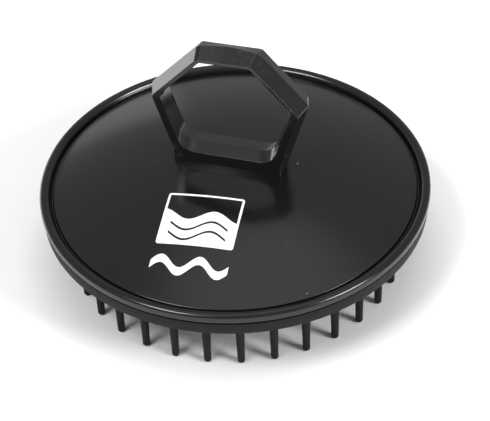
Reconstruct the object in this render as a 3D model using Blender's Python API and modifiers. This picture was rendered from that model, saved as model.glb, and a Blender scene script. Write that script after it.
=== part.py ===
"""Round scalp and grooming brush, modelled as its moulded pieces.

A glossy domed cover carries a hexagonal finger loop, staked through two slots, and closes a
one-piece plate of round-tipped tines that snaps inside its rim. A white print lies on the cover.

Metres, +Z up. The brush stands on the tips of its outer ring of tines at z = 0, the disc's axis is
the Z axis, and the finger loop stands in the XZ plane. Run it in Blender's text editor, or with
blender --background --python part.py
"""

import math

import bmesh
import bpy
from mathutils import Vector

MM = 0.001
ASSEMBLY = "round_grooming_brush"
CLEARANCE = 0.3          # gap between pieces that touch, in millimetres, as all sizes below
TURN_STEPS = 72

# Cover: a paraboloid dome, a groove, and a raised rim
DOME_APEX = 27.0
DOME_CURVATURE = 116.7
DOME_EDGE = 41.2
COVER_WALL = 2.0
RIM_RADIUS = 44.5
RIM_CREST = 20.7
RIM_FOOT = 18.6
GROOVE_FLOOR = 19.05
SPIGOT_RADIUS = 41.9
SPIGOT_WALL = 1.3
SPIGOT_FOOT = 16.9
SNAP_HEIGHT = 17.35
SNAP_DEPTH = 0.2
RIB_RADIUS = 24.0
RIB_WALL = 1.2
RIB_FOOT = 20.6

# Tine plate: a shallower dome inside a skirt
PLATE_APEX = 20.3        # the underside's height on the axis
PLATE_CURVATURE = 150.0
PLATE_WALL = 1.8
PLATE_EDGE = 38.9
SKIRT_TOP = 18.1
SKIRT_FOOT = 15.1
SKIRT_RADIUS = 44.2
SKIRT_DRAFT = 0.1
SKIRT_BORE = 42.2
SHELF_HEIGHT = 16.6
TINE_RINGS = 4
TINES_PER_RING_STEP = 8
TINE_RING_RADIUS = 37.65
TINE_RING_PITCH = 9.4
TINE_PHASE = math.radians(6.43)
TINE_ROOT = 1.12
TINE_TIP = 0.75
TINE_FLAT = 0.3
TINE_SIDES = 8

# Finger loop: half of a hexagon's corners (x, z), top to bottom, with the foot's end last
LOOP_CENTRE = -0.5       # the loop stands a little to one side of the disc's axis
LOOP_HALF = ((6.87, 56.8), (18.05, 44.32), (12.83, 28.24), (12.5, 25.4))
LOOP_ROUNDS = (0.8, 1.0, 0.8, 0.3)
LOOP_FRONT = -3.4
LOOP_BACK = 3.8
FRONT_BEVEL = 1.2        # how far the outer faces fall from the ridge to the front
BACK_BEVEL = 0.7         # and to the back,
BACK_TOP_BEVEL = 1.2     # where the top bar falls further
LOOP_WALL = 2.5
LOOP_SEAT = 30.4         # the loop's inner floor at its middle
LOOP_DRAFT = 0.7
BORE_ROUNDS = (0.8, 1.0, 4.0)
ROUND_STEPS = 4
FOOT_WIDTH = 24.8        # the foot is a plain block, wider there than the bevelled faces
FOOT_TOP = 31.2

# The finger loop's fixings
TENON_PLACES = ((LOOP_CENTRE - 8.0, 0.0), (LOOP_CENTRE + 8.0, 0.0))
TENON_SIZE = (6.0, 3.4)
TENON_TOP = 28.3
HEAD_SIZE = (8.0, 5.2)
HEAD_TOP = 24.3
HEAD_FOOT = 22.9

# Print: a framed panel of waves, and a wavy stripe under it
INK_THICKNESS = 0.15
PRINT_CENTRE = (-1.6, -20.1)
PRINT_TURN = math.radians(4.5)
PANEL_SIZE = (17.2, 14.0)
PANEL_LINE = 0.7
PANEL_ROUND = 1.0
SWELL = 1.3              # height of the panel's waves
SWELL_LEVEL = 1.2
SLIT_DROP = 3.6
SLIT_WIDTH = 0.7
SLIT_END = 1.6
STRIPE_DROP = 12.1
STRIPE_WIDTH = 2.0
STRIPE_SWELL = 1.5
WAVE_POINTS = 28


def dome(radius):
    return DOME_APEX - radius**2 / (2 * DOME_CURVATURE)


def plate_underside(radius):
    return PLATE_APEX - radius**2 / (2 * PLATE_CURVATURE)


# ---------------------------------------------------------------- scene and materials

def clear_scene():
    for old in list(bpy.data.objects):
        bpy.data.objects.remove(old, do_unlink=True)


def new_collection(name):
    collection = bpy.data.collections.new(name)
    bpy.context.scene.collection.children.link(collection)
    return collection


def new_material(name, colour, roughness, metallic=0.0):
    material = bpy.data.materials.new(name)
    material.use_nodes = True
    shader = material.node_tree.nodes["Principled BSDF"]
    shader.inputs["Base Color"].default_value = (*colour, 1.0)
    shader.inputs["Roughness"].default_value = roughness
    shader.inputs["Metallic"].default_value = metallic
    return material


def new_object(name, mesh, collection, material=None):
    piece = bpy.data.objects.new(name, mesh)
    collection.objects.link(piece)
    if material:
        mesh.materials.append(material)
    return piece


def mesh_from(name, builder):
    """A mesh of the bmesh that builder fills in, in millimetres, scaled to metres."""
    bm = bmesh.new()
    builder(bm)
    bmesh.ops.scale(bm, vec=(MM, MM, MM), verts=bm.verts)
    mesh = bpy.data.meshes.new(name)
    bm.to_mesh(mesh)
    bm.free()
    return mesh


def as_cutter(piece):
    piece.hide_render = True
    piece.display_type = "WIRE"
    return piece


def shade(piece, angle=40.0):
    piece.data.shade_smooth()
    piece.data.set_sharp_from_angle(angle=math.radians(angle))


# ---------------------------------------------------------------- modelling helpers

def turned(name, profile, collection, material=None, closed=False, steps=TURN_STEPS):
    """A solid of revolution: profile is (radius, height) points, running down its outer side."""
    def build(bm):
        points = [bm.verts.new((radius, 0.0, height)) for radius, height in profile]
        ends = points[1:] + (points[:1] if closed else [])
        for start, end in zip(points, ends):
            bm.edges.new((start, end))

    piece = new_object(name, mesh_from(name, build), collection, material)
    screw = piece.modifiers.new("Turn", "SCREW")
    screw.axis = "Z"
    screw.steps = steps
    screw.render_steps = steps
    screw.use_merge_vertices = True
    screw.merge_threshold = 0.00001
    screw.use_smooth_shade = True
    return piece


def boxes(name, centres, size, low, high, collection, material=None):
    """Upright boxes of the same size, in one mesh."""
    def build(bm):
        for x, y in centres:
            box = bmesh.ops.create_cube(bm, size=1.0)["verts"]
            bmesh.ops.scale(bm, vec=(size[0], size[1], high - low), verts=box)
            bmesh.ops.translate(bm, vec=(x, y, (low + high) / 2), verts=box)

    return new_object(name, mesh_from(name, build), collection, material)


def boolean(piece, tool, operation):
    modifier = piece.modifiers.new(operation.title(), "BOOLEAN")
    modifier.operation = operation
    modifier.solver = "EXACT"
    modifier.object = tool


def offset_corners(corners, insets):
    """Corners of a clockwise outline with side i, from corner i to i + 1, moved in by insets[i]."""
    count = len(corners)
    normals = []
    for i, corner in enumerate(corners):
        side = (Vector(corners[(i + 1) % count]) - Vector(corner)).normalized()
        normals.append(Vector((side.y, -side.x)))
    moved = []
    for i, corner in enumerate(corners):
        before, after = normals[i - 1], normals[i]
        a = before.dot(Vector(corner)) + insets[i - 1]
        b = after.dot(Vector(corner)) + insets[i]
        cross = before.x * after.y - before.y * after.x
        moved.append(((a * after.y - b * before.y) / cross, (before.x * b - after.x * a) / cross))
    return moved


def rounded(corners, radii, steps=ROUND_STEPS):
    """An outline whose corners are arcs of the given radii, each of steps segments."""
    outline = []
    for i, corner in enumerate(corners):
        here = Vector(corner)
        back = (Vector(corners[i - 1]) - here).normalized()
        ahead = (Vector(corners[(i + 1) % len(corners)]) - here).normalized()
        half = back.angle(ahead) / 2
        centre = here + (back + ahead).normalized() * radii[i] / math.sin(half)
        start = here + back * radii[i] / math.tan(half) - centre
        end = here + ahead * radii[i] / math.tan(half) - centre
        sweep = start.angle_signed(end)
        for k in range(steps + 1):
            turn = -sweep * k / steps
            cos, sin = math.cos(turn), math.sin(turn)
            outline.append((centre.x + start.x * cos - start.y * sin,
                            centre.y + start.x * sin + start.y * cos))
    return outline


def lofted(name, layers, collection, material=None):
    """A solid through outlines of (x, z) points at rising depths: layers is (y, outline) pairs."""
    def build(bm):
        rings = [[bm.verts.new((x, y, z)) for x, z in outline] for y, outline in layers]
        for ring, following in zip(rings, rings[1:]):
            for i in range(len(ring)):
                bm.faces.new((ring[i - 1], ring[i], following[i], following[i - 1]))
        bm.faces.new(rings[0])
        bm.faces.new(rings[-1])
        bmesh.ops.recalc_face_normals(bm, faces=bm.faces)

    return new_object(name, mesh_from(name, build), collection, material)


def flat_solid(name, outlines, low, high, collection, material=None):
    """An upright prism of a flat outline and its holes, from height low to high."""
    curve = bpy.data.curves.new(name, "CURVE")
    curve.dimensions = "2D"
    curve.fill_mode = "BOTH"
    curve.extrude = (high - low) / 2 * MM
    for outline in outlines:
        spline = curve.splines.new("POLY")
        spline.points.add(len(outline) - 1)
        for point, (x, y) in zip(spline.points, outline):
            point.co = (x * MM, y * MM, 0.0, 1.0)
        spline.use_cyclic_u = True
    guide = new_object(name, curve, collection)
    guide.location.z = (low + high) / 2 * MM
    bpy.context.view_layer.update()
    mesh = bpy.data.meshes.new_from_object(guide.evaluated_get(bpy.context.evaluated_depsgraph_get()))
    mesh.transform(guide.matrix_world)
    bm = bmesh.new()
    bm.from_mesh(mesh)
    bmesh.ops.remove_doubles(bm, verts=bm.verts, dist=0.000001)
    bmesh.ops.recalc_face_normals(bm, faces=bm.faces)
    bm.to_mesh(mesh)
    bm.free()
    bpy.data.objects.remove(guide)
    return new_object(name, mesh, collection, material)


# ---------------------------------------------------------------- cover

def cover_profile():
    underside = [(r, dome(r) - COVER_WALL) for r in (SPIGOT_RADIUS - SPIGOT_WALL, 36, 30)]
    rib = [(RIB_RADIUS + RIB_WALL / 2, dome(RIB_RADIUS) - COVER_WALL),
           (RIB_RADIUS + RIB_WALL / 2, RIB_FOOT),
           (RIB_RADIUS - RIB_WALL / 2, RIB_FOOT),
           (RIB_RADIUS - RIB_WALL / 2, dome(RIB_RADIUS) - COVER_WALL)]
    middle = [(r, dome(r) - COVER_WALL) for r in (18, 12, 6, 0)]
    top = [(r, dome(r)) for r in (0, 6, 12, 18, 24, 30, 36, DOME_EDGE)]
    groove = [(DOME_EDGE + 0.2, dome(DOME_EDGE) - 0.3), (DOME_EDGE + 0.3, GROOVE_FLOOR),
              (DOME_EDGE + 0.7, GROOVE_FLOOR)]
    rim = [(RIM_RADIUS - 2.3, GROOVE_FLOOR + 0.5), (RIM_RADIUS - 1.45, RIM_CREST - 0.35),
           (RIM_RADIUS - 1.1, RIM_CREST - 0.08), (RIM_RADIUS - 0.75, RIM_CREST),
           (RIM_RADIUS - 0.4, RIM_CREST - 0.12), (RIM_RADIUS - 0.12, RIM_CREST - 0.42),
           (RIM_RADIUS, RIM_CREST - 0.85), (RIM_RADIUS, RIM_FOOT + 0.4),
           (RIM_RADIUS - 0.15, RIM_FOOT + 0.1), (RIM_RADIUS - 0.4, RIM_FOOT)]
    spigot = [(SPIGOT_RADIUS, RIM_FOOT), (SPIGOT_RADIUS, SNAP_HEIGHT + 0.2),
              (SPIGOT_RADIUS + SNAP_DEPTH, SNAP_HEIGHT), (SPIGOT_RADIUS, SNAP_HEIGHT - 0.2),
              (SPIGOT_RADIUS - 0.2, SPIGOT_FOOT),
              (SPIGOT_RADIUS - SPIGOT_WALL + 0.1, SPIGOT_FOOT)]
    return top + groove + rim + spigot + underside + rib + middle


def make_cover(parts, cutters, material):
    cover = turned("cover", cover_profile(), parts, material)
    slot_size = [side + 2 * CLEARANCE for side in TENON_SIZE]
    slots = boxes("slot_cutter", TENON_PLACES, slot_size, 20, 30, cutters)
    boolean(cover, as_cutter(slots), "DIFFERENCE")
    return cover


# ---------------------------------------------------------------- finger loop

def mirrored(half):
    """The loop's clockwise corners (x, z) from those of its right half, top to bottom."""
    right = [(LOOP_CENTRE + x, z) for x, z in half]
    return right + [(LOOP_CENTRE - x, z) for x, z in reversed(half)]


def loop_outline(bevel, top_bevel):
    """The loop's outer outline with its sides, and its top, moved in; its foot's end stays."""
    insets = [bevel, bevel, bevel, 0, bevel, bevel, bevel, top_bevel]
    corners = offset_corners(mirrored(LOOP_HALF), insets)
    return rounded(corners, LOOP_ROUNDS + LOOP_ROUNDS[::-1])


def loop_body(parts, material):
    layers = [(LOOP_FRONT, loop_outline(FRONT_BEVEL, FRONT_BEVEL)), (0, loop_outline(0, 0)),
              (LOOP_BACK, loop_outline(BACK_BEVEL, BACK_TOP_BEVEL))]
    return lofted("handle", layers, parts, material)


def bore_cutter(cutters):
    """The finger hole, narrowest at the middle and drafted to both sides, run 1 mm past them."""
    ridge = mirrored(LOOP_HALF[:3])
    floor_inset = LOOP_SEAT - LOOP_HALF[2][1]
    rounds = BORE_ROUNDS + BORE_ROUNDS[::-1]
    layers = []
    for side, past in ((LOOP_FRONT, -1.0), (0.0, 0.0), (LOOP_BACK, 1.0)):
        draft = LOOP_DRAFT * (side + past) / side if side else 0.0
        wall = LOOP_WALL - draft
        insets = [wall, wall, floor_inset - draft, wall, wall, wall]
        layers.append((side + past, rounded(offset_corners(ridge, insets), rounds)))
    return lofted("bore_cutter", layers, cutters)


def make_handle(parts, cutters, material):
    handle = loop_body(parts, material)
    middle = (LOOP_CENTRE, (LOOP_FRONT + LOOP_BACK) / 2)
    foot = boxes("foot_tool", (middle,), (FOOT_WIDTH, LOOP_BACK - LOOP_FRONT), LOOP_HALF[-1][1],
                 FOOT_TOP, cutters)
    boolean(handle, as_cutter(foot), "UNION")
    boolean(handle, as_cutter(bore_cutter(cutters)), "DIFFERENCE")
    seat = [(r, dome(r) + CLEARANCE) for r in (0, 5, 10, 16, 22)] + [(22, 18), (0, 18)]
    boolean(handle, as_cutter(turned("seat_cutter", seat, cutters)), "DIFFERENCE")
    tenons = boxes("tenon_tool", TENON_PLACES, TENON_SIZE, HEAD_FOOT + 0.4, TENON_TOP, cutters)
    boolean(handle, as_cutter(tenons), "UNION")
    heads = boxes("head_tool", TENON_PLACES, HEAD_SIZE, HEAD_FOOT, HEAD_TOP, cutters)
    edge = heads.modifiers.new("Edge", "BEVEL")
    edge.width = 0.4 * MM
    edge.segments = 1
    boolean(handle, as_cutter(heads), "UNION")
    shade(handle, 20.0)
    return handle


# ---------------------------------------------------------------- tine plate

def plate_profile():
    reaches = (0, 10, 19, 28, 36, PLATE_EDGE)
    top = [(r, plate_underside(r) + PLATE_WALL) for r in reaches]
    shelf = [(SKIRT_BORE - 1.7, SHELF_HEIGHT), (SKIRT_BORE, SHELF_HEIGHT)]
    bore = [(SKIRT_BORE, SNAP_HEIGHT - 0.4), (SKIRT_BORE + SNAP_DEPTH + 0.05, SNAP_HEIGHT),
            (SKIRT_BORE, SNAP_HEIGHT + 0.4), (SKIRT_BORE + 0.1, SKIRT_TOP)]
    skirt = [(SKIRT_RADIUS - 0.1, SKIRT_TOP), (SKIRT_RADIUS, SKIRT_TOP - 0.1),
             (SKIRT_RADIUS - SKIRT_DRAFT, SKIRT_FOOT + 0.25),
             (SKIRT_RADIUS - SKIRT_DRAFT - 0.25, SKIRT_FOOT), (PLATE_EDGE + 0.3, SKIRT_FOOT)]
    underside = [(r, plate_underside(r)) for r in reversed(reaches)]
    return top + shelf + bore + skirt + underside


def tine_places():
    """(x, y, root height) of every tine: rings of 32, 24, 16 and 8, and one on the axis."""
    places = [(0.0, 0.0, PLATE_APEX)]
    for ring in range(TINE_RINGS):
        radius = TINE_RING_RADIUS - ring * TINE_RING_PITCH
        count = TINES_PER_RING_STEP * (TINE_RINGS - ring)
        for i in range(count):
            angle = TINE_PHASE + 2 * math.pi * i / count
            places.append((radius * math.cos(angle), radius * math.sin(angle),
                           plate_underside(radius)))
    return places


def tine_profile(length):
    """From inside the plate down to the small flat on the rounded tip."""
    tip = [(TINE_FLAT + (TINE_TIP - TINE_FLAT) * math.cos(math.radians(a)),
            -length + (TINE_TIP - TINE_FLAT) * (1 - math.sin(math.radians(a)))) for a in (0, 45, 90)]
    return [(0, 0.8), (TINE_ROOT, 0.8)] + tip + [(0, -length)]


def tine_field(cutters):
    """All the tines in one mesh, each a turned pin that reaches into the plate."""
    length = plate_underside(TINE_RING_RADIUS)
    pin = turned("tine_pin", tine_profile(length), cutters, steps=TINE_SIDES)
    bpy.context.view_layer.update()
    mesh = bpy.data.meshes.new_from_object(pin.evaluated_get(bpy.context.evaluated_depsgraph_get()))
    bm = bmesh.new()
    for x, y, z in tine_places():
        first = len(bm.verts)
        bm.from_mesh(mesh)
        bm.verts.ensure_lookup_table()
        bmesh.ops.translate(bm, vec=(x * MM, y * MM, z * MM), verts=bm.verts[first:])
    field = bpy.data.meshes.new("tine_field")
    bm.to_mesh(field)
    bm.free()
    bpy.data.objects.remove(pin)
    return new_object("tine_field", field, cutters)


def make_tine_plate(parts, cutters, material):
    plate = turned("tine_plate", plate_profile(), parts, material)
    boolean(plate, as_cutter(tine_field(cutters)), "UNION")
    return plate


# ---------------------------------------------------------------- print

def on_print(points, drop=0.0):
    """Moves points from the panel's own axes to its place on the cover."""
    cos, sin = math.cos(PRINT_TURN), math.sin(PRINT_TURN)
    placed = []
    for x, y in points:
        y -= drop
        placed.append((PRINT_CENTRE[0] + x * cos - y * sin, PRINT_CENTRE[1] + x * sin + y * cos))
    return placed


def swell(x, height=SWELL, periods=1.5):
    return height * math.sin(2 * math.pi * periods * x / PANEL_SIZE[0])


def wave_band(half_length, top, bottom, height, periods):
    """A closed band between two equal waves, clockwise."""
    xs = [half_length * (2 * i / WAVE_POINTS - 1) for i in range(WAVE_POINTS + 1)]
    upper = [(x, top + swell(x, height, periods)) for x in xs]
    lower = [(x, bottom + swell(x, height, periods)) for x in reversed(xs)]
    return upper + lower


def panel_outlines():
    half_x, half_y = PANEL_SIZE[0] / 2, PANEL_SIZE[1] / 2
    corners = [(-half_x, half_y), (half_x, half_y), (half_x, -half_y), (-half_x, -half_y)]
    frame = rounded(corners, [PANEL_ROUND] * 4)
    inner_x, inner_y = half_x - PANEL_LINE, half_y - PANEL_LINE
    xs = [inner_x * (2 * i / WAVE_POINTS - 1) for i in range(WAVE_POINTS + 1)]
    sky = [(-inner_x, inner_y), (inner_x, inner_y)]
    sky += [(x, SWELL_LEVEL + swell(x)) for x in reversed(xs)]
    outlines = [frame, sky]
    for step in (1, 2):
        level = SWELL_LEVEL - step * SLIT_DROP * 0.72
        outlines.append(wave_band(inner_x - SLIT_END, level, level - SLIT_WIDTH, SWELL, 1.5))
    return [on_print(outline) for outline in outlines]


def make_print(name, outlines, parts, cutters, material):
    """Ink of the flat outlines' shape, lying along the dome."""
    low, high = dome(40) - 1.0, dome(8) + 1.0
    ink = flat_solid(name, outlines, low, high, parts, material)
    reaches = (9, 15, 21, 27, 33, 40)
    lower = CLEARANCE
    skin = [(r, dome(r) + lower + INK_THICKNESS) for r in reaches]
    skin += [(r, dome(r) + lower) for r in reversed(reaches)]
    film = turned(name + "_film", skin, cutters, closed=True)
    boolean(ink, as_cutter(film), "INTERSECT")
    return ink


def main():
    clear_scene()
    parts = new_collection(ASSEMBLY)
    cutters = new_collection(ASSEMBLY + "_cutters")
    gloss_black = new_material("cover_gloss", (0.012, 0.012, 0.013), 0.12)
    satin_black = new_material("handle_satin", (0.016, 0.016, 0.017), 0.38)
    soft_black = new_material("tine_matte", (0.02, 0.02, 0.021), 0.55)
    white_ink = new_material("print_ink", (0.82, 0.83, 0.84), 0.45)
    make_cover(parts, cutters, gloss_black)
    make_handle(parts, cutters, satin_black)
    make_tine_plate(parts, cutters, soft_black)
    make_print("print_panel", panel_outlines(), parts, cutters, white_ink)
    stripe = wave_band(PANEL_SIZE[0] / 2, STRIPE_WIDTH / 2, -STRIPE_WIDTH / 2, STRIPE_SWELL, 2.0)
    make_print("print_stripe", [on_print(stripe, STRIPE_DROP)], parts, cutters, white_ink)


main()
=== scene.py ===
"""Looks of the round grooming brush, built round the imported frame. Sizes are millimetres."""
import math

import bmesh
import bpy
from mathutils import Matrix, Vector, noise


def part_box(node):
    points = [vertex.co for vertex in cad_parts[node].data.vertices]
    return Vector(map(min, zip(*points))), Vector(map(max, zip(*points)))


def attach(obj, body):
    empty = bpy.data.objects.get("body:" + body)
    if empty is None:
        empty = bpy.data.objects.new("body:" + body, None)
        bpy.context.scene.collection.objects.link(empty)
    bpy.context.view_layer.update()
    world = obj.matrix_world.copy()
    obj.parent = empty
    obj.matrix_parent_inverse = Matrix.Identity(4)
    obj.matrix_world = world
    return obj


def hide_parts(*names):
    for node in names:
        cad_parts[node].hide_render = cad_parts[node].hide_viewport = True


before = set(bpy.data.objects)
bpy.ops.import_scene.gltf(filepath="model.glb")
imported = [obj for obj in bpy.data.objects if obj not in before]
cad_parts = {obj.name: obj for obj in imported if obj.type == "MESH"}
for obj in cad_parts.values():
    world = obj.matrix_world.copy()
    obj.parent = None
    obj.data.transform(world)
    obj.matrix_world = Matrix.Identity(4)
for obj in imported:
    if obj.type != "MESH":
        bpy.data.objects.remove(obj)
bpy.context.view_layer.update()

MM = 0.001
COVER_LOW, COVER_HIGH = (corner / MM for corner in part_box("cover"))
PLATE_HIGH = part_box("tine_plate")[1] / MM
LOOP_LOW, LOOP_HIGH = (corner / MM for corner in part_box("handle"))

# Cover: a paraboloid dome, a groove and a raised rim
TURN_STEPS = 256
DOME_APEX = COVER_HIGH.z
DOME_CURVATURE = 116.7
DOME_EDGE = 41.2
COVER_WALL = 2.0
RIM_RADIUS = COVER_HIGH.x
RIM_CREST = 20.7
RIM_FOOT = 18.6
SPIGOT_FOOT = COVER_LOW.z
SPIGOT_RADIUS = 41.9
SPIGOT_WALL = 1.2
RIB_FOOT = 20.6

# Tine plate
SKIRT_RADIUS = PLATE_HIGH.x
SKIRT_TOP = 18.1
SKIRT_FOOT = 15.1
SKIRT_BORE = 42.2
PLATE_APEX = 20.3
PLATE_CURVATURE = 150.0
PLATE_WALL = 1.8
PLATE_EDGE = 38.9
TINE_RINGS = 4
TINES_PER_RING_STEP = 8
TINE_RING_RADIUS = 37.65
TINE_RING_PITCH = 9.4
TINE_PHASE = math.radians(6.43)
TINE_SIDES = 20

# Finger loop: half of its corners (x, z), top to bottom, the last one inside the foot
LOOP_CENTRE = (LOOP_LOW.x + LOOP_HIGH.x) / 2
LOOP_TOP = LOOP_HIGH.z
LOOP_HALF = ((6.87, LOOP_TOP), (18.05, LOOP_TOP - 12.48), (13.2, LOOP_TOP - 28.56), (12.5, 25.4))
TOP_LEAN = (0.35, -0.15)  # how far in and up the top's left corner sits from the right one's mirror
LOOP_ROUNDS = (0.9, 1.1, 0.8, 0.4, 0.4, 0.8, 1.1, 1.6)
BORE_ROUNDS = (0.8, 1.0, 4.0, 4.0, 1.0, 0.8)
LOOP_FRONT = LOOP_LOW.y
LOOP_BACK = LOOP_HIGH.y
FRONT_BEVEL = 1.2       # how far the outer side falls from its ridge to the front face
BACK_BEVEL = 0.7
BACK_TOP_BEVEL = 1.2
LOOP_WALL = 2.5         # of the bars at the bore's ridge; walls run in from the corners above
LEFT_WALL = 2.85        # of the upper left bar
LOWER_WALL = 3.0        # of the lower bars at the front
LEFT_DRAFT = 0.13       # of the lower left bar's inner side, all to the back
LOOP_SEAT = 30.4        # height of the opening's floor at the bore's ridge
LOOP_DRAFT = 0.7
FACE_ROUND = 0.06
RIDGE_ROUND = 0.3
BORE_RIDGE_ROUND = 0.4
SECTION_REACH = 0.5     # how far past a face's edge a section's points are kept
BORE_OVERRUN = 1.0
RIDGE_DEPTH = 0.8       # the outer ridge's place from front to back
RIDGE_WANDER = 0.5      # how far the mould's parting line strays along the top bar
FOOT_SIZE = (24.8, LOOP_BACK - LOOP_FRONT)
FOOT_TOP = 31.2
FOOT_EDGE = 0.12
SEAT_GAP = 0.01         # between the foot's underside and the dome
TENONS = ((LOOP_CENTRE - 8.0, 0.0), (LOOP_CENTRE + 8.0, 0.0))
TENON_SIZE = (6.0, 3.4)
SLOT_SIZE = (6.3, 3.7)
TENON_SPAN = (23.3, 28.3)
HEAD_SIZE = (8.0, 5.2)
HEAD_SPAN = (22.9, 24.3)
HEAD_EDGE = 0.5
LOOP_SCUFFS = (((LOOP_CENTRE - 12.6, -3.3, 30.4), 1.7), ((LOOP_CENTRE - 11.6, -3.4, 28.2), 2.0),
               ((LOOP_CENTRE + 2.6, -0.6, 56.8), 3.0), ((LOOP_CENTRE + 8.6, -1.2, 54.6), 2.6))

# Print: a framed panel of waves and a wave stripe under it
INK_GAP = 0.01
INK_THICKNESS = 0.035
PRINT_CENTRE = (-1.6, -20.1)
PRINT_TURN = math.radians(4.5)
PANEL_SIZE = (17.2, 14.0)
PANEL_LINE = 0.5
PANEL_ROUND = 0.6
PANEL_PERIODS = 1.5
PANEL_SWELL = 1.3
SKY_LEVEL = 1.2
BAND_LEVELS = (-1.4, -4.0)
BAND_THICKNESS = 0.6
BAND_MARGIN = 1.6
STRIPE_PERIODS = 2.0
STRIPE_SWELL = 1.5
STRIPE_HALF = 1.0
STRIPE_DROP = 12.1
WAVE_POINTS = 60

# Studio: the tent brightens towards its pole, between those cosines of the angle to it
TENT_POLE = (0.03, 0.20, 0.979)
TENT_REACH = (0.88, 1.0)
TENT_LEVELS = (0.45, 1.15)
SOFTBOX_TARGET = (0, 0, 0.03)
SOFTBOXES = (           # name, place and size in metres, watts
    ("left_softbox", (-0.30, -0.47, 0.79), (0.32, 0.32), 5.6),
    ("right_softbox", (0.82, -0.20, 0.50), (0.32, 0.32), 8.0),
    ("side_softbox", (-0.93, 0.44, 0.02), (0.62, 0.30), 1.35),
    ("back_softbox", (-0.62, 0.77, 0.18), (0.45, 0.26), 0.22),
)

# Floor: a painted shadow; its paper is darker in a patch under the brush and paler outside it, between those
# distances
PAINTED_SHADOW_REACH = (40, 51)
PAINTED_SHADOW_TONE = 0.74
PAPER_TONE = 0.97
FLOOR_REACH = 150       # half of its side

# Dust, on every plastic
DUST = (0.22, 0.22, 0.21)

# Camera, placed where the photographer stood
CAMERA_PLACE = (94.82, -284.62, 275.48)
CAMERA_TURN = (48.562, 1.926, 16.339)
CAMERA_LENS = 126.86


def dome(radius):
    return DOME_APEX - radius**2 / (2 * DOME_CURVATURE)


def plate_underside(radius):
    return PLATE_APEX - radius**2 / (2 * PLATE_CURVATURE)


# ---------------------------------------------------------------- mesh helpers

def link(name, data):
    piece = bpy.data.objects.new(name, data)
    bpy.context.scene.collection.objects.link(piece)
    return piece


def mesh_from(name, builder):
    bm = bmesh.new()
    builder(bm)
    bmesh.ops.scale(bm, vec=(MM, MM, MM), verts=bm.verts)
    mesh = bpy.data.meshes.new(name)
    bm.to_mesh(mesh)
    bm.free()
    return mesh


def evaluated_mesh(piece):
    bpy.context.view_layer.update()
    graph = bpy.context.evaluated_depsgraph_get()
    return bpy.data.meshes.new_from_object(piece.evaluated_get(graph))


def apply_modifiers(piece):
    mesh = evaluated_mesh(piece)
    piece.modifiers.clear()
    piece.data = mesh
    return piece


def shade(piece, angle=35.0):
    piece.data.shade_smooth()
    piece.data.set_sharp_from_angle(angle=math.radians(angle))


def arc(centre, radius, start, end, steps=6):
    """Points from angle start to angle end, in degrees, about centre."""
    points = []
    for k in range(steps + 1):
        angle = math.radians(start + (end - start) * k / steps)
        points.append((centre[0] + radius * math.cos(angle), centre[1] + radius * math.sin(angle)))
    return points


def rounded(corners, radii, steps=5):
    """A closed outline whose corners are arcs of the given radii."""
    outline = []
    for i, corner in enumerate(corners):
        here = Vector(corner)
        back = (Vector(corners[i - 1]) - here).normalized()
        ahead = (Vector(corners[(i + 1) % len(corners)]) - here).normalized()
        half = back.angle(ahead) / 2
        centre = here + (back + ahead).normalized() * radii[i] / math.sin(half)
        start = here + back * radii[i] / math.tan(half) - centre
        end = here + ahead * radii[i] / math.tan(half) - centre
        sweep = start.angle_signed(end)
        for k in range(steps + 1):
            turn = -sweep * k / steps
            cos, sin = math.cos(turn), math.sin(turn)
            outline.append((centre.x + start.x * cos - start.y * sin,
                            centre.y + start.x * sin + start.y * cos))
    return outline


def turned(name, profile, closed=False, steps=TURN_STEPS):
    """A solid of revolution of (radius, height) points that run down its outer side."""
    def build(bm):
        points = [bm.verts.new((radius, 0.0, height)) for radius, height in profile]
        ends = points[1:] + (points[:1] if closed else [])
        for start, end in zip(points, ends):
            bm.edges.new((start, end))

    piece = link(name, mesh_from(name, build))
    screw = piece.modifiers.new("Turn", "SCREW")
    screw.axis = "Z"
    screw.steps = steps
    screw.render_steps = steps
    screw.use_merge_vertices = True
    screw.merge_threshold = 0.000001
    screw.use_smooth_shade = True
    return apply_modifiers(piece)


def lofted(name, layers):
    """A solid through outlines of (x, z) points: layers is (y, outline) pairs."""
    def build(bm):
        rings = [[bm.verts.new((x, y, z)) for x, z in outline] for y, outline in layers]
        for ring, following in zip(rings, rings[1:]):
            for i in range(len(ring)):
                bm.faces.new((ring[i - 1], ring[i], following[i], following[i - 1]))
        bm.faces.new(rings[0])
        bm.faces.new(rings[-1])
        bmesh.ops.recalc_face_normals(bm, faces=bm.faces)

    return link(name, mesh_from(name, build))


def combine(piece, tool, operation, solver="EXACT"):
    modifier = piece.modifiers.new(operation.title(), "BOOLEAN")
    modifier.operation = operation
    modifier.solver = solver
    modifier.object = tool
    apply_modifiers(piece)
    bpy.data.objects.remove(tool)
    return piece


def box(name, centres, size, low, high, edge=0.0):
    def build(bm):
        for x, y in centres:
            cube = bmesh.ops.create_cube(bm, size=1.0)["verts"]
            bmesh.ops.scale(bm, vec=(size[0], size[1], high - low), verts=cube)
            bmesh.ops.translate(bm, vec=(x, y, (low + high) / 2), verts=cube)

    piece = link(name, mesh_from(name, build))
    if edge:
        bevel = piece.modifiers.new("Edge", "BEVEL")
        bevel.width = edge * MM
        bevel.segments = 3
        apply_modifiers(piece)
    return piece


# ---------------------------------------------------------------- material helpers

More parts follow.
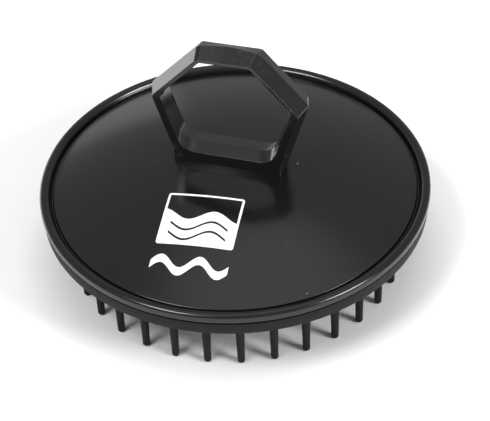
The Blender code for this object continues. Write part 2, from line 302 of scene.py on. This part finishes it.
class Nodes:
    """A material's node tree, with short ways to add the nodes that plastics need."""

    def __init__(self, name):
        self.material = bpy.data.materials.new(name)
        self.material.use_nodes = True
        self.tree = self.material.node_tree
        self.shader = self.tree.nodes["Principled BSDF"]
        coordinates = self.tree.nodes.new("ShaderNodeTexCoord")
        self.place = coordinates.outputs["Object"]

    def add(self, kind, **settings):
        node = self.tree.nodes.new(kind)
        for key, value in settings.items():
            setattr(node, key, value)
        return node

    def link(self, output, socket):
        self.tree.links.new(output, socket)

    def stretched(self, scale, turn=(0.0, 0.0, 0.0)):
        mapping = self.add("ShaderNodeMapping")
        mapping.inputs["Scale"].default_value = scale
        mapping.inputs["Rotation"].default_value = turn
        self.link(self.place, mapping.inputs["Vector"])
        return mapping.outputs["Vector"]

    def noise(self, per_mm, detail=3.0, roughness=0.5, vector=None, distortion=0.0):
        node = self.add("ShaderNodeTexNoise")
        node.inputs["Scale"].default_value = per_mm / MM
        node.inputs["Detail"].default_value = detail
        node.inputs["Roughness"].default_value = roughness
        node.inputs["Distortion"].default_value = distortion
        self.link(vector or self.place, node.inputs["Vector"])
        return node.outputs["Fac"]

    def specks(self, per_mm, radius, share):
        """1 inside small dots: one in each cell of 1 / per_mm, kept in that share of the cells."""
        cells = self.add("ShaderNodeTexVoronoi")
        cells.inputs["Scale"].default_value = per_mm / MM
        self.link(self.place, cells.inputs["Vector"])
        inside = self.math("LESS_THAN", cells.outputs["Distance"], radius)
        split = self.add("ShaderNodeSeparateColor")
        self.link(cells.outputs["Color"], split.inputs["Color"])
        kept = self.math("LESS_THAN", split.outputs["Red"], share)
        return self.math("MULTIPLY", inside, kept)

    def math(self, operation, a, b):
        node = self.add("ShaderNodeMath", operation=operation)
        for value, socket in zip((a, b), node.inputs):
            if isinstance(value, (int, float)):
                socket.default_value = value
            else:
                self.link(value, socket)
        return node.outputs["Value"]

    def remap(self, value, low, high, to_low, to_high):
        node = self.add("ShaderNodeMapRange")
        for name, number in (("From Min", low), ("From Max", high), ("To Min", to_low), ("To Max", to_high)):
            node.inputs[name].default_value = number
        self.link(value, node.inputs["Value"])
        return node.outputs["Result"]

    def mix(self, factor, a, b):
        node = self.add("ShaderNodeMix", data_type="RGBA")
        self.link(factor, node.inputs["Factor"])
        for value, socket in ((a, node.inputs["A"]), (b, node.inputs["B"])):
            if isinstance(value, tuple):
                socket.default_value = (*value, 1.0)
            else:
                self.link(value, socket)
        return node.outputs["Result"]

    def bump(self, height, strength, distance_mm, before=None):
        node = self.add("ShaderNodeBump")
        node.inputs["Strength"].default_value = strength
        node.inputs["Distance"].default_value = distance_mm * MM
        self.link(height, node.inputs["Height"])
        if before:
            self.link(before, node.inputs["Normal"])
        return node.outputs["Normal"]

    def scratches(self, per_mm, turn, width, share):
        """1 along fine lines that run at an angle, broken up along their length."""
        lanes = self.stretched((1.0, 0.035, 1.0), (0.0, 0.0, math.radians(turn)))
        cells = self.add("ShaderNodeTexVoronoi", voronoi_dimensions="2D", feature="DISTANCE_TO_EDGE")
        cells.inputs["Scale"].default_value = per_mm / MM
        self.link(lanes, cells.inputs["Vector"])
        line = self.math("LESS_THAN", cells.outputs["Distance"], width)
        patches = self.math("GREATER_THAN", self.noise(0.12, 2.0), 1.0 - share)
        return self.math("MULTIPLY", line, patches)

    def distance(self, place_mm):
        away = self.add("ShaderNodeVectorMath", operation="DISTANCE")
        away.inputs[1].default_value = Vector(place_mm) * MM
        self.link(self.place, away.inputs[0])
        return away.outputs["Value"]

    def patch(self, place_mm, reach_mm):
        """1 at that place, falling softly to 0 at that reach."""
        return self.remap(self.distance(place_mm), 0.2 * reach_mm * MM, reach_mm * MM, 1.0, 0.0)

    def output(self, colour=None, roughness=None, normal=None):
        for value, name in ((colour, "Base Color"), (roughness, "Roughness"), (normal, "Normal")):
            if value is None:
                continue
            if isinstance(value, tuple):
                self.shader.inputs[name].default_value = (*value, 1.0)
            elif isinstance(value, float):
                self.shader.inputs[name].default_value = value
            else:
                self.link(value, self.shader.inputs[name])
        return self.material


def cover_plastic():
    """Polished black, with faint flow, a few hairline scratches and dust."""
    nodes = Nodes("cover_plastic")
    flow = nodes.noise(0.05, 3.0, 0.5, distortion=0.4)
    grain = nodes.noise(1.6, 3.0)
    scratch = nodes.math("MAXIMUM", nodes.scratches(0.16, 24, 0.0022, 0.40),
                         nodes.scratches(0.12, -51, 0.002, 0.38))
    dust = nodes.math("MAXIMUM", nodes.specks(0.16, 0.035, 0.30), nodes.specks(0.5, 0.035, 0.05))
    colour = nodes.mix(dust, (0.004, 0.004, 0.0045), DUST)
    roughness = nodes.math("ADD", nodes.remap(flow, 0.3, 0.7, 0.15, 0.20),
                           nodes.math("MULTIPLY", grain, 0.03))
    roughness = nodes.math("ADD", roughness, nodes.math("MULTIPLY", scratch, 0.12))
    normal = nodes.bump(grain, 0.04, 0.02)
    normal = nodes.bump(flow, 0.15, 0.05, normal)
    return nodes.output(colour, roughness, normal)


def loop_plastic():
    """Semi-gloss black: faint flow, a few scuffs, and dust."""
    nodes = Nodes("loop_plastic")
    flow = nodes.noise(0.22, 4.0, 0.6, distortion=0.4)
    grain = nodes.noise(2.4, 4.0, 0.6)
    rubbed = nodes.remap(nodes.noise(0.55, 5.0, 0.7), 0.60, 0.72, 0.0, 1.0)
    streaks = nodes.noise(1.0, 4.0, 0.7, nodes.stretched((0.5, 0.5, 2.4), (0.0, 0.5, 0.0)))
    streaks = nodes.remap(streaks, 0.50, 0.62, 0.0, 1.0)
    scuffs = None
    for place, reach in LOOP_SCUFFS:
        patch = nodes.math("MULTIPLY", nodes.patch(place, reach), streaks)
        scuffs = nodes.math("MAXIMUM", scuffs, patch) if scuffs else patch
    dust = nodes.specks(0.6, 0.045, 0.05)
    colour = nodes.mix(rubbed, (0.0075, 0.0075, 0.0075), (0.010, 0.010, 0.0098))
    colour = nodes.mix(scuffs, colour, (0.022, 0.022, 0.0217))
    colour = nodes.mix(dust, colour, DUST)
    roughness = nodes.math("ADD", nodes.remap(flow, 0.3, 0.7, 0.10, 0.15),
                           nodes.math("MULTIPLY", rubbed, 0.06))
    normal = nodes.bump(grain, 0.10, 0.03)
    normal = nodes.bump(flow, 0.15, 0.10, normal)
    normal = nodes.bump(scuffs, 0.5, 0.04, normal)
    return nodes.output(colour, roughness, normal)


def tine_plastic():
    """Matte black, finely spark-eroded, softer than the cover."""
    nodes = Nodes("tine_plastic")
    spark = nodes.noise(6.0, 4.0, 0.7)
    patches = nodes.noise(0.15, 3.0)
    dust = nodes.specks(1.6, 0.07, 0.08)
    colour = nodes.mix(nodes.remap(patches, 0.35, 0.65, 0.0, 1.0),
                       (0.004, 0.004, 0.0044), (0.007, 0.007, 0.0073))
    colour = nodes.mix(dust, colour, DUST)
    roughness = nodes.math("ADD", nodes.remap(patches, 0.3, 0.7, 0.46, 0.56),
                           nodes.math("MULTIPLY", spark, 0.10))
    nodes.shader.inputs["Specular IOR Level"].default_value = 0.2
    return nodes.output(colour, roughness, nodes.bump(spark, 0.35, 0.02))


def white_ink():
    """Pad-printed white, a little thin in places."""
    nodes = Nodes("white_ink")
    thin = nodes.remap(nodes.noise(1.2, 4.0, 0.65), 0.62, 0.75, 0.0, 1.0)
    film = nodes.noise(4.0, 3.0)
    pinholes = nodes.specks(2.2, 0.09, 0.10)
    colour = nodes.mix(thin, (0.86, 0.88, 0.90), (0.66, 0.68, 0.70))
    colour = nodes.mix(pinholes, colour, (0.30, 0.30, 0.31))
    roughness = nodes.remap(film, 0.3, 0.7, 0.36, 0.52)
    return nodes.output(colour, roughness, nodes.bump(film, 0.3, 0.01))


def floor_with_painted_shadow():
    nodes = Nodes("floor_with_painted_shadow")
    # painted shadow: the paper's colour is darker under and round the brush, paling outwards to its own tone
    away = nodes.distance((0, 0, 0))
    clear_of_painted_shadow = nodes.remap(away, PAINTED_SHADOW_REACH[0] * MM, PAINTED_SHADOW_REACH[1] * MM, 0.0, 1.0)
    paper = nodes.math("MULTIPLY", nodes.noise(0.02, 3.0), 0.05)
    colour = nodes.mix(nodes.math("ADD", clear_of_painted_shadow, paper), (PAINTED_SHADOW_TONE,) * 3, (PAPER_TONE,) * 3)
    return nodes.output(colour, 0.9)


# ---------------------------------------------------------------- cover

def cover_profile():
    """The cover's section: its top and rim, then its spigot, underside and ring rib."""
    top = [(DOME_EDGE * k / 40, dome(DOME_EDGE * k / 40)) for k in range(41)]
    edge = arc((DOME_EDGE, dome(DOME_EDGE) - 0.25), 0.25, 80, 0, 5)
    groove = arc((DOME_EDGE + 0.55, 19.25), 0.28, 185, 340, 9)
    slope = arc((RIM_RADIUS - 1.025, RIM_CREST - 1.25), 1.25, 160, 60, 16)
    crest = arc((RIM_RADIUS - 0.8, RIM_CREST - 0.86), 0.8, 54, 0, 9)
    wall = [(RIM_RADIUS, RIM_FOOT + 0.5)]
    foot = arc((RIM_RADIUS - 0.4, RIM_FOOT + 0.4), 0.4, 0, -90, 6)
    spigot = [(SPIGOT_RADIUS + 0.15, RIM_FOOT)]
    spigot += arc((SPIGOT_RADIUS + 0.15, RIM_FOOT - 0.15), 0.15, 90, 180, 3)
    bead = arc((SPIGOT_RADIUS - 0.1, 17.35), 0.3, 60, -60, 6)
    nose = arc((SPIGOT_RADIUS - 0.3, SPIGOT_FOOT + 0.3), 0.3, 0, -90, 4)
    bore = arc((SPIGOT_RADIUS - SPIGOT_WALL + 0.2, SPIGOT_FOOT + 0.2), 0.2, -90, -180, 4)
    reach = SPIGOT_RADIUS - 1.6
    corner = [(reach + 0.3, dome(reach) - COVER_WALL - 0.5), (reach, dome(reach) - COVER_WALL - 0.1)]
    underside = [(r, dome(r) - COVER_WALL) for r in (39, 36, 33, 30, 27)]
    rib = [(24.9, dome(25) - COVER_WALL), (24.6, dome(24) - COVER_WALL - 0.3)]
    rib += arc((24.4, RIB_FOOT + 0.2), 0.2, 0, -90, 3) + arc((23.6, RIB_FOOT + 0.2), 0.2, -90, -180, 3)
    rib += [(23.4, dome(24) - COVER_WALL - 0.3), (23.1, dome(23) - COVER_WALL)]
    middle = [(r, dome(r) - COVER_WALL) for r in (20, 16, 12, 8, 4, 0)]
    return (top + edge + groove + slope + crest + wall + foot + spigot + bead + nose + bore
            + corner + underside + rib + middle)


def make_cover():
    cover = turned("cover_shell", cover_profile())
    combine(cover, box("slots", TENONS, SLOT_SIZE, 20, 30), "DIFFERENCE")
    shade(cover, 30)
    return cover


# ---------------------------------------------------------------- finger loop

def offset_corners(corners, insets):
    """Corners of a clockwise outline with side i, from corner i to i + 1, moved in by insets[i]."""
    count = len(corners)
    normals = []
    for i, corner in enumerate(corners):
        side = (Vector(corners[(i + 1) % count]) - Vector(corner)).normalized()
        normals.append(Vector((side.y, -side.x)))
    moved = []
    for i, corner in enumerate(corners):
        before, after = normals[i - 1], normals[i]
        a = before.dot(Vector(corner)) + insets[i - 1]
        b = after.dot(Vector(corner)) + insets[i]
        cross = before.x * after.y - before.y * after.x
        moved.append(((a * after.y - b * before.y) / cross, (before.x * b - after.x * a) / cross))
    return moved


def mirrored(half):
    right = [(LOOP_CENTRE + x, z) for x, z in half]
    left = [(LOOP_CENTRE - x, z) for x, z in reversed(half)]
    left[-1] = (left[-1][0] + TOP_LEAN[0], left[-1][1] + TOP_LEAN[1])
    return right + left


def subdivided(outline, arc_points, side_points=24):
    """The same outline with extra points along its straight sides, which join arcs of that many."""
    points = []
    for i, end in enumerate(outline):
        count = side_points if i % arc_points == 0 else 1
        start, end = Vector(outline[i - 1]), Vector(end)
        points += [tuple(start.lerp(end, k / count)) for k in range(count)]
    return points


def eased_section(front_fall, back_fall, ridge, ridge_round):
    """(y, fall) points of a ridge section from face to face, its ridge and face edges eased."""
    corners = [(LOOP_FRONT, front_fall + 3), (LOOP_FRONT, front_fall), (ridge, 0),
               (LOOP_BACK, back_fall), (LOOP_BACK, back_fall + 3)]
    points = rounded(corners, (0.01, FACE_ROUND, ridge_round, FACE_ROUND, 0.01), 4)
    return [(y, fall) for y, fall in points if fall < (front_fall if y < 0 else back_fall) + SECTION_REACH]


def body_insets(y, fall):
    """How far each of the loop's outer sides lies inside its ridge outline."""
    top = fall * BACK_TOP_BEVEL / BACK_BEVEL if y > RIDGE_DEPTH else fall
    return [fall, fall, fall, 0, fall, fall, fall, top]


def hole_insets(y, fall):
    """The walls there: upper right, lower right, floor, lower left, upper left, top."""
    wall = LOOP_WALL - fall
    lower_left = LOWER_WALL - LEFT_DRAFT * (y - LOOP_FRONT)
    lower_right = LOWER_WALL + LOOP_DRAFT - fall
    floor = LOOP_SEAT - LOOP_HALF[2][1] - fall
    return [wall, lower_right, floor, lower_left, LEFT_WALL - fall, wall]


def loop_layers(section, corners, insets_of, rounds):
    """(y, outline) pairs for lofted(), one at each point of the section."""
    layers = []
    for y, fall in section:
        outline = rounded(offset_corners(corners, insets_of(y, fall)), rounds, 8)
        layers.append((y, subdivided(outline, len(outline) // len(corners))))
    return layers


def stray_ridge(loop):
    """Lets the parting line wander as a worn mould's does."""
    for vertex in loop.data.vertices:
        x, y, z = vertex.co / MM
        closeness = max(0.0, 1.0 - abs(y - RIDGE_DEPTH) / 2.6) * max(0.0, 1.0 - abs(z - LOOP_TOP) / 3.0)
        wander = math.cos(0.42 * (x - LOOP_CENTRE)) + 0.4 * noise.noise(Vector((x * 0.7, 5.0, z * 0.7)))
        vertex.co.y += RIDGE_WANDER * closeness * wander * MM


def make_bore():
    mouth = eased_section(LOOP_DRAFT, LOOP_DRAFT, 0.0, BORE_RIDGE_ROUND)
    first, last = mouth[0], mouth[-1]
    mouth = [(first[0] - BORE_OVERRUN, first[1])] + mouth + [(last[0] + BORE_OVERRUN, last[1])]
    return lofted("bore", loop_layers(mouth, mirrored(LOOP_HALF[:3]), hole_insets, BORE_ROUNDS))


def make_loop():
    section = eased_section(FRONT_BEVEL, BACK_BEVEL, RIDGE_DEPTH, RIDGE_ROUND)
    loop = lofted("finger_loop", loop_layers(section, mirrored(LOOP_HALF), body_insets, LOOP_ROUNDS))
    stray_ridge(loop)
    middle = (LOOP_CENTRE, (LOOP_FRONT + LOOP_BACK) / 2)
    combine(loop, box("foot", (middle,), FOOT_SIZE, LOOP_HALF[-1][1], FOOT_TOP, FOOT_EDGE), "UNION")
    combine(loop, make_bore(), "DIFFERENCE")
    seat = [(r, dome(r) + SEAT_GAP) for r in range(0, 23)] + [(22, 18), (0, 18)]
    combine(loop, turned("seat", seat), "DIFFERENCE")
    combine(loop, box("tenons", TENONS, TENON_SIZE, *TENON_SPAN), "UNION")
    combine(loop, box("heads", TENONS, HEAD_SIZE, *HEAD_SPAN, HEAD_EDGE), "UNION")
    shade(loop, 30)
    weighted = loop.modifiers.new("Even", "WEIGHTED_NORMAL")
    weighted.keep_sharp = True
    return loop


# ---------------------------------------------------------------- tine plate

def plate_profile():
    reaches = [PLATE_EDGE * k / 16 for k in range(17)]
    top = [(r, plate_underside(r) + PLATE_WALL) for r in reaches]
    shelf = [(SKIRT_BORE - 1.6, 16.62)] + arc((SKIRT_BORE - 0.2, 16.8), 0.2, -90, 0, 3)
    bore = [(SKIRT_BORE, 17.05), (SKIRT_BORE + 0.3, 17.35), (SKIRT_BORE, 17.65)]
    skirt = arc((SKIRT_RADIUS - 0.3, SKIRT_TOP - 0.15), 0.15, 180, 90, 3)
    skirt += arc((SKIRT_RADIUS - 0.15, SKIRT_TOP - 0.15), 0.15, 90, 0, 4)
    skirt += arc((SKIRT_RADIUS - 0.45, SKIRT_FOOT + 0.35), 0.35, 0, -90, 6)
    flat = arc((PLATE_EDGE + 0.5, SKIRT_FOOT + 0.2), 0.2, -90, -140, 3)
    underside = [(r, plate_underside(r)) for r in reversed(reaches)]
    return top + shelf + bore + skirt + flat + underside


def tine_profile(length):
    """From inside the plate: a root fillet, a tapered shank and a round tip."""
    fillet = arc((1.13 + 0.5, -0.5), 0.5, 90, 180, 5)
    tip = arc((0.12, -length + 0.72), 0.72, 0, -90, 8)
    shank = [(0.98, -length * 0.42), (0.86, -length * 0.75)]
    return [(0, 0.9), (1.4, 0.9), (1.63, 0.3)] + fillet + shank + tip + [(0, -length)]


def tine_places():
    places = [(0.0, 0.0, PLATE_APEX)]
    for ring in range(TINE_RINGS):
        radius = TINE_RING_RADIUS - ring * TINE_RING_PITCH
        count = TINES_PER_RING_STEP * (TINE_RINGS - ring)
        for i in range(count):
            angle = TINE_PHASE + 2 * math.pi * i / count
            places.append((radius * math.cos(angle), radius * math.sin(angle), plate_underside(radius)))
    return places


def make_tine_pad():
    pad = turned("tine_pad", plate_profile())
    pin = turned("pin", tine_profile(plate_underside(TINE_RING_RADIUS)), steps=TINE_SIDES)
    bm = bmesh.new()
    for x, y, z in tine_places():
        first = len(bm.verts)
        bm.from_mesh(pin.data)
        bm.verts.ensure_lookup_table()
        bmesh.ops.translate(bm, vec=(x * MM, y * MM, z * MM), verts=bm.verts[first:])
    mesh = bpy.data.meshes.new("tines")
    bm.to_mesh(mesh)
    bm.free()
    bpy.data.objects.remove(pin)
    combine(pad, link("tines", mesh), "UNION", "MANIFOLD")
    shade(pad, 40)
    return pad


# ---------------------------------------------------------------- print

def on_print(points, drop=0.0):
    """Points of the print, which drop moves down it, in their places over the dome."""
    cos, sin = math.cos(PRINT_TURN), math.sin(PRINT_TURN)
    return [(PRINT_CENTRE[0] + x * cos - (y - drop) * sin, PRINT_CENTRE[1] + x * sin + (y - drop) * cos)
            for x, y in points]


def swell(x, height, periods):
    return height * math.sin(2 * math.pi * periods * x / PANEL_SIZE[0])


def evenly_spaced(half_length):
    return [half_length * (2 * i / WAVE_POINTS - 1) for i in range(WAVE_POINTS + 1)]


def wave_band(half_length, top, bottom, height, periods):
    xs = evenly_spaced(half_length)
    upper = [(x, top + swell(x, height, periods)) for x in xs]
    lower = [(x, bottom + swell(x, height, periods)) for x in reversed(xs)]
    return upper + lower


def panel_outlines():
    half_x, half_y = PANEL_SIZE[0] / 2, PANEL_SIZE[1] / 2
    corners = [(-half_x, half_y), (half_x, half_y), (half_x, -half_y), (-half_x, -half_y)]
    inner_x, inner_y = half_x - PANEL_LINE, half_y - PANEL_LINE
    crest = [(x, SKY_LEVEL + swell(x, PANEL_SWELL, PANEL_PERIODS)) for x in evenly_spaced(inner_x)]
    sky = [(-inner_x, inner_y), (inner_x, inner_y)] + crest[::-1]
    outlines = [rounded(corners, [PANEL_ROUND] * 4), sky]
    for level in BAND_LEVELS:
        outlines.append(wave_band(inner_x - BAND_MARGIN, level, level - BAND_THICKNESS,
                                  PANEL_SWELL, PANEL_PERIODS))
    return [on_print(outline) for outline in outlines]


def stripe_outline():
    band = wave_band(PANEL_SIZE[0] / 2, STRIPE_HALF, -STRIPE_HALF, STRIPE_SWELL, STRIPE_PERIODS)
    return on_print(band, STRIPE_DROP)


def inked(name, outlines):
    """A thin film of ink of that outline, lying on the dome."""
    curve = bpy.data.curves.new(name, "CURVE")
    curve.dimensions = "2D"
    curve.fill_mode = "BOTH"
    curve.extrude = 4 * MM
    for outline in outlines:
        spline = curve.splines.new("POLY")
        spline.points.add(len(outline) - 1)
        for point, (x, y) in zip(spline.points, outline):
            point.co = (x * MM, y * MM, 0.0, 1.0)
        spline.use_cyclic_u = True
    guide = link(name + "_guide", curve)
    guide.location.z = 24 * MM
    mesh = evaluated_mesh(guide)
    mesh.transform(guide.matrix_world)
    bm = bmesh.new()
    bm.from_mesh(mesh)
    bmesh.ops.remove_doubles(bm, verts=bm.verts, dist=0.000001)
    bmesh.ops.recalc_face_normals(bm, faces=bm.faces)
    bm.to_mesh(mesh)
    bm.free()
    bpy.data.objects.remove(guide)
    ink = link(name, mesh)
    reaches = [8 + k * 0.5 for k in range(62)]
    skin = [(r, dome(r) + INK_GAP + INK_THICKNESS) for r in reaches]
    skin += [(r, dome(r) + INK_GAP) for r in reversed(reaches)]
    combine(ink, turned("film", skin, closed=True), "INTERSECT")
    shade(ink, 30)
    return ink


# ---------------------------------------------------------------- stage

def softbox(name, place, size, watts):
    data = bpy.data.lights.new(name, "AREA")
    data.shape = "RECTANGLE"
    data.size, data.size_y = size
    data.energy = watts
    light = link(name, data)
    light.location = place
    light.rotation_euler = (Vector(SOFTBOX_TARGET) - Vector(place)).to_track_quat("-Z", "Y").to_euler()


def studio_world():
    """A white tent that glows round its pole, overhead."""
    world = bpy.data.worlds.new("studio")
    world.use_nodes = True
    tree = world.node_tree
    direction = tree.nodes.new("ShaderNodeTexCoord")
    nearness = tree.nodes.new("ShaderNodeVectorMath")
    nearness.operation = "DOT_PRODUCT"
    nearness.inputs[1].default_value = TENT_POLE
    glow = tree.nodes.new("ShaderNodeMapRange")
    glow.interpolation_type = "SMOOTHERSTEP"
    for name, number in zip(("From Min", "From Max", "To Min", "To Max"), TENT_REACH + TENT_LEVELS):
        glow.inputs[name].default_value = number
    background = tree.nodes["Background"]
    background.inputs["Color"].default_value = (0.98, 0.99, 1.0, 1.0)
    tree.links.new(direction.outputs["Generated"], nearness.inputs[0])
    tree.links.new(nearness.outputs["Value"], glow.inputs["Value"])
    tree.links.new(glow.outputs["Result"], background.inputs["Strength"])
    return world


def make_stage():
    def plane(bm):
        bmesh.ops.create_grid(bm, x_segments=1, y_segments=1, size=FLOOR_REACH)

    floor = link("floor", mesh_from("floor", plane))
    floor.data.materials.append(floor_with_painted_shadow())
    bpy.context.scene.world = studio_world()
    for name, place, size, watts in SOFTBOXES:
        softbox(name, place, size, watts)


def make_camera():
    data = bpy.data.cameras.new("camera")
    data.lens = CAMERA_LENS
    data.clip_start = 0.01
    camera = link("camera", data)
    camera.location = Vector(CAMERA_PLACE) * MM
    camera.rotation_euler = [math.radians(angle) for angle in CAMERA_TURN]
    bpy.context.scene.camera = camera


def finish_piece(piece, material, node):
    piece.data.materials.clear()
    piece.data.materials.append(material)
    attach(piece, "root")
    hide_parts(node)


make_camera()
make_stage()
bpy.context.scene.view_settings.view_transform = "Standard"
ink = white_ink()
finish_piece(make_cover(), cover_plastic(), "cover")
finish_piece(make_loop(), loop_plastic(), "handle")
finish_piece(make_tine_pad(), tine_plastic(), "tine_plate")
finish_piece(inked("panel_ink", panel_outlines()), ink, "print_panel")
finish_piece(inked("stripe_ink", [stripe_outline()]), ink, "print_stripe")
